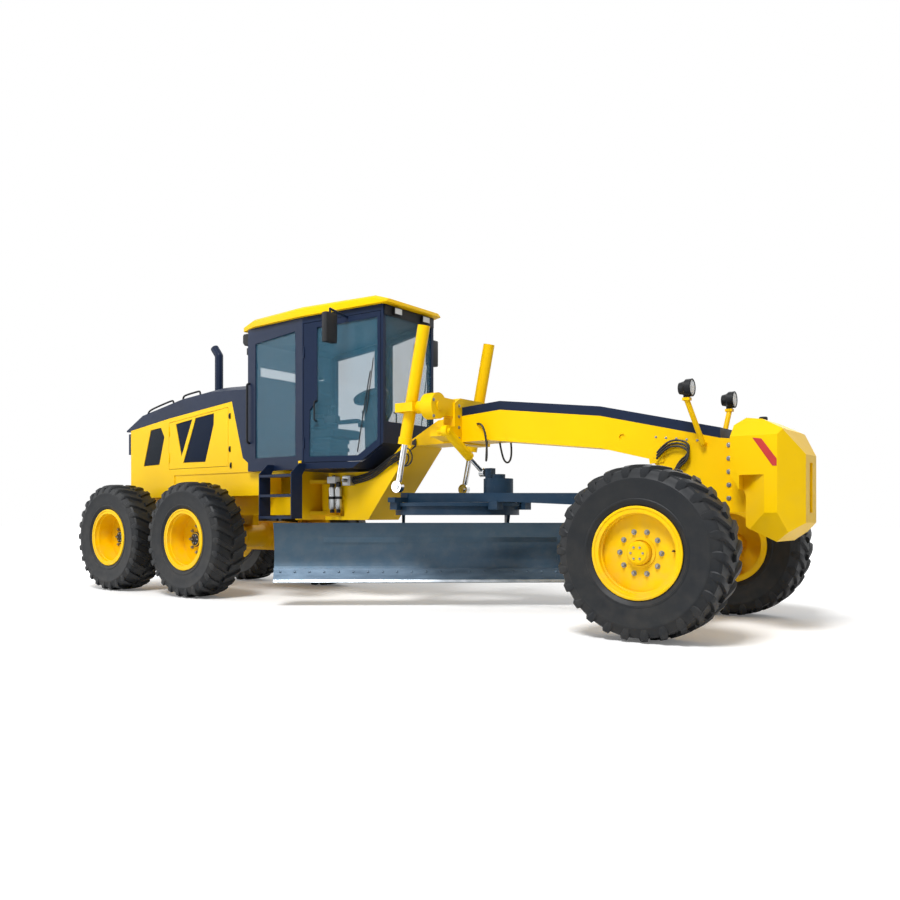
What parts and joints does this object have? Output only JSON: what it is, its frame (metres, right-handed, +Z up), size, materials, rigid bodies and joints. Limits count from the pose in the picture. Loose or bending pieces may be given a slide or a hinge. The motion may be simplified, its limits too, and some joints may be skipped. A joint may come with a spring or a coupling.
{
  "type": "motor grader",
  "caption": "Articulated road grader with tandem drive wheels, glazed cab, gooseneck frame, turning blade under it and leaning front wheels; it levels and shapes earth.",
  "frame": {"origin": "on the ground under the middle of the machine's box", "axes": "+X forward, +Y to the machine's left, +Z up"},
  "size_m": [8.634, 2.595, 3.3],
  "materials": {
    "yellow": "gloss",
    "navy": "satin",
    "teal_navy": "satin",
    "black_metal": "satin",
    "blade_steel": "worn",
    "edge_steel": "worn",
    "chrome": "polished",
    "tyre": "matte",
    "rim": "gloss",
    "glass": "clear",
    "seat": "woven",
    "plastic": "matte",
    "cast": "rough"
  },
  "bodies": {
    "rear_unit": {"rear_frame": "yellow", "tandem_axle": "yellow", "engine_block": "cast", "hood_shell": "yellow", "hood_top": "navy", "rear_grille": "navy", "exhaust_stack": "navy", "cab_frame": "navy", "cab_roof": "yellow", "cab_glass": "glass", "seat": "seat", "steering_console": "plastic", "ladders": "navy"},
    "front_unit": {"front_frame": "yellow", "frame_cover": "navy", "counterweight": "yellow", "headlamps": "black_metal", "saddle": "yellow", "front_axle": "yellow"},
    "hood_door_right": {"hood_door_right": "yellow"},
    "hood_door_left": {"hood_door_left": "yellow"},
    "cab_door_right": {"cab_door_right": "navy", "door_glass_right": "glass"},
    "cab_door_left": {"cab_door_left": "navy", "door_glass_left": "glass"},
    "lean_bracket_right": {"lean_bracket_right": "yellow"},
    "lean_bracket_left": {"lean_bracket_left": "yellow"},
    "knuckle_right": {"knuckle_right": "yellow"},
    "knuckle_left": {"knuckle_left": "yellow"},
    "tie_rod_end": {"tie_rod_end": "black_metal"},
    "tie_rod": {"tie_rod": "black_metal"},
    "drawbar_ball": {"drawbar_ball": "cast"},
    "drawbar": {"drawbar": "teal_navy"},
    "circle": {"circle": "teal_navy"},
    "blade_carrier": {"blade_carrier": "black_metal"},
    "moldboard": {"moldboard": "blade_steel", "cutting_edge": "edge_steel"},
    "shift_barrel": {"shift_barrel": "yellow"},
    "shift_rod": {"shift_rod": "chrome"},
    "lift_yoke_right": {"lift_yoke_right": "yellow"},
    "lift_barrel_right": {"lift_barrel_right": "yellow"},
    "lift_rod_right": {"lift_rod_right": "chrome"},
    "wheel_front_right": {"tyre_front_right": "tyre", "rim_front_right": "rim"},
    "wheel_mid_right": {"tyre_mid_right": "tyre", "rim_mid_right": "rim"},
    "wheel_rear_right": {"tyre_rear_right": "tyre", "rim_rear_right": "rim"},
    "lift_yoke_left": {"lift_yoke_left": "yellow"},
    "lift_barrel_left": {"lift_barrel_left": "yellow"},
    "lift_rod_left": {"lift_rod_left": "chrome"},
    "wheel_front_left": {"tyre_front_left": "tyre", "rim_front_left": "rim"},
    "wheel_mid_left": {"tyre_mid_left": "tyre", "rim_mid_left": "rim"},
    "wheel_rear_left": {"tyre_rear_left": "tyre", "rim_rear_left": "rim"}
  },
  "joints": [
    {"name": "articulation", "type": "hinge", "parent": "rear_unit", "child": "front_unit", "pos_m": [-0.913, 0, 1.165], "axis": [0, 0, 1], "range_deg": [-25, 25]},
    {"name": "lean_right", "type": "hinge", "parent": "front_unit", "child": "lean_bracket_right", "pos_m": [3.387, -0.62, 0.675], "axis": [1, 0, 0], "range_deg": [-18, 18]},
    {"name": "steer_right", "type": "hinge", "parent": "lean_bracket_right", "child": "knuckle_right", "pos_m": [3.387, -0.85, 0.675], "axis": [0, 0, -1], "range_deg": [-50, 50]},
    {"name": "spin_front_right", "type": "hinge", "parent": "knuckle_right", "child": "wheel_front_right", "pos_m": [3.387, -1.075, 0.675], "axis": [0, 1, 0], "continuous": true},
    {"name": "spin_mid_right", "type": "hinge", "parent": "rear_unit", "child": "wheel_mid_right", "pos_m": [-2.104, -1.075, 0.675], "axis": [0, 1, 0], "continuous": true},
    {"name": "spin_rear_right", "type": "hinge", "parent": "rear_unit", "child": "wheel_rear_right", "pos_m": [-3.642, -1.075, 0.675], "axis": [0, 1, 0], "continuous": true},
    {"name": "lean_left", "type": "hinge", "parent": "front_unit", "child": "lean_bracket_left", "pos_m": [3.387, 0.62, 0.675], "axis": [1, 0, 0], "range_deg": [-18, 18]},
    {"name": "steer_left", "type": "hinge", "parent": "lean_bracket_left", "child": "knuckle_left", "pos_m": [3.387, 0.85, 0.675], "axis": [0, 0, -1], "range_deg": [-50, 50]},
    {"name": "spin_front_left", "type": "hinge", "parent": "knuckle_left", "child": "wheel_front_left", "pos_m": [3.387, 1.075, 0.675], "axis": [0, 1, 0], "continuous": true},
    {"name": "spin_mid_left", "type": "hinge", "parent": "rear_unit", "child": "wheel_mid_left", "pos_m": [-2.104, 1.075, 0.675], "axis": [0, 1, 0], "continuous": true},
    {"name": "spin_rear_left", "type": "hinge", "parent": "rear_unit", "child": "wheel_rear_left", "pos_m": [-3.642, 1.075, 0.675], "axis": [0, 1, 0], "continuous": true},
    {"name": "tie_rod_end_turn", "type": "hinge", "parent": "knuckle_right", "child": "tie_rod_end", "pos_m": [3.152, -0.85, 0.538], "axis": [0, 0, -1], "range_deg": [-50, 50]},
    {"name": "tie_rod_tilt", "type": "hinge", "parent": "tie_rod_end", "child": "tie_rod", "pos_m": [3.152, -0.788, 0.538], "axis": [1, 0, 0], "range_deg": [-18, 18]},
    {"name": "drawbar_swing", "type": "hinge", "parent": "front_unit", "child": "drawbar_ball", "pos_m": [3.007, 0, 1.08], "axis": [0, 0, 1], "range_deg": [-15, 15]},
    {"name": "drawbar_lift", "type": "hinge", "parent": "drawbar_ball", "child": "drawbar", "pos_m": [3.007, 0, 1.08], "axis": [0, 1, 0], "range_deg": [-18, 5]},
    {"name": "circle_turn", "type": "hinge", "parent": "drawbar", "child": "circle", "pos_m": [0.877, 0, 1.02], "axis": [0, 0, 1], "continuous": true},
    {"name": "blade_tip", "type": "hinge", "parent": "circle", "child": "blade_carrier", "pos_m": [0.69795, 0.06002, 0.345], "axis": [0.766, 0.6428, 0], "range_deg": [-5, 40]},
    {"name": "blade_shift", "type": "slide", "parent": "blade_carrier", "child": "moldboard", "axis": [0.766, 0.6428, 0], "range_m": [-0.52, 0.67]},
    {"name": "yoke_right", "type": "hinge", "parent": "front_unit", "child": "lift_yoke_right", "pos_m": [0.722, -0.6, 2.04], "axis": [-1, 0, 0], "range_deg": [-38, 38]},
    {"name": "barrel_right", "type": "hinge", "parent": "lift_yoke_right", "child": "lift_barrel_right", "pos_m": [0.722, -0.6, 2.04], "axis": [0, 1, 0], "range_deg": [-8.5, 2.5]},
    {"name": "rod_right", "type": "slide", "parent": "lift_barrel_right", "child": "lift_rod_right", "axis": [-0.2044, 0, -0.9789], "range_m": [-0.215, 0.76]},
    {"name": "yoke_left", "type": "hinge", "parent": "front_unit", "child": "lift_yoke_left", "pos_m": [0.722, 0.6, 2.04], "axis": [-1, 0, 0], "range_deg": [-38, 38]},
    {"name": "barrel_left", "type": "hinge", "parent": "lift_yoke_left", "child": "lift_barrel_left", "pos_m": [0.722, 0.6, 2.04], "axis": [0, 1, 0], "range_deg": [-8.5, 2.5]},
    {"name": "rod_left", "type": "slide", "parent": "lift_barrel_left", "child": "lift_rod_left", "axis": [-0.2044, 0, -0.9789], "range_m": [-0.215, 0.76]},
    {"name": "shift_barrel_turn", "type": "hinge", "parent": "front_unit", "child": "shift_barrel", "pos_m": [1.137, -0.56, 1.79], "axis": [-1, 0, 0], "range_deg": [-14.5, 14.5]},
    {"name": "shift_rod_slide", "type": "slide", "parent": "shift_barrel", "child": "shift_rod", "axis": [0.0948, 0.8169, -0.5689], "range_m": [-0.17, 0.17]},
    {"name": "cab_door_right", "type": "hinge", "parent": "rear_unit", "child": "cab_door_right", "pos_m": [-0.69371, -0.70472, 2.3], "axis": [0, 0, -1], "range_deg": [0, 90]},
    {"name": "hood_door_right", "type": "hinge", "parent": "rear_unit", "child": "hood_door_right", "pos_m": [-3.213, -0.65, 1.9], "axis": [0, 0, -1], "range_deg": [0, 100]},
    {"name": "cab_door_left", "type": "hinge", "parent": "rear_unit", "child": "cab_door_left", "pos_m": [-0.69371, 0.70472, 2.3], "axis": [0, 0, 1], "range_deg": [0, 90]},
    {"name": "hood_door_left", "type": "hinge", "parent": "rear_unit", "child": "hood_door_left", "pos_m": [-3.213, 0.65, 1.9], "axis": [0, 0, 1], "range_deg": [0, 100]}
  ],
  "couplings": [
    {"joint": "lean_left", "follows": "lean_right", "ratio": 1},
    {"joint": "steer_left", "follows": "steer_right", "ratio": 1},
    {"joint": "tie_rod_end_turn", "follows": "steer_right", "ratio": -1},
    {"joint": "tie_rod_tilt", "follows": "lean_right", "ratio": -0.758},
    {"joint": "yoke_right", "follows": "drawbar_swing", "ratio": 2.45},
    {"joint": "barrel_right", "follows": "drawbar_lift", "ratio": 0.45},
    {"joint": "rod_right", "follows": "drawbar_lift", "m_per_rad": -2.4},
    {"joint": "yoke_left", "follows": "drawbar_swing", "ratio": 2.45},
    {"joint": "barrel_left", "follows": "drawbar_lift", "ratio": 0.45},
    {"joint": "rod_left", "follows": "drawbar_lift", "m_per_rad": -2.4},
    {"joint": "shift_barrel_turn", "follows": "drawbar_swing", "ratio": 0.9},
    {"joint": "shift_rod_slide", "follows": "drawbar_swing", "m_per_rad": -0.63}
  ]
}
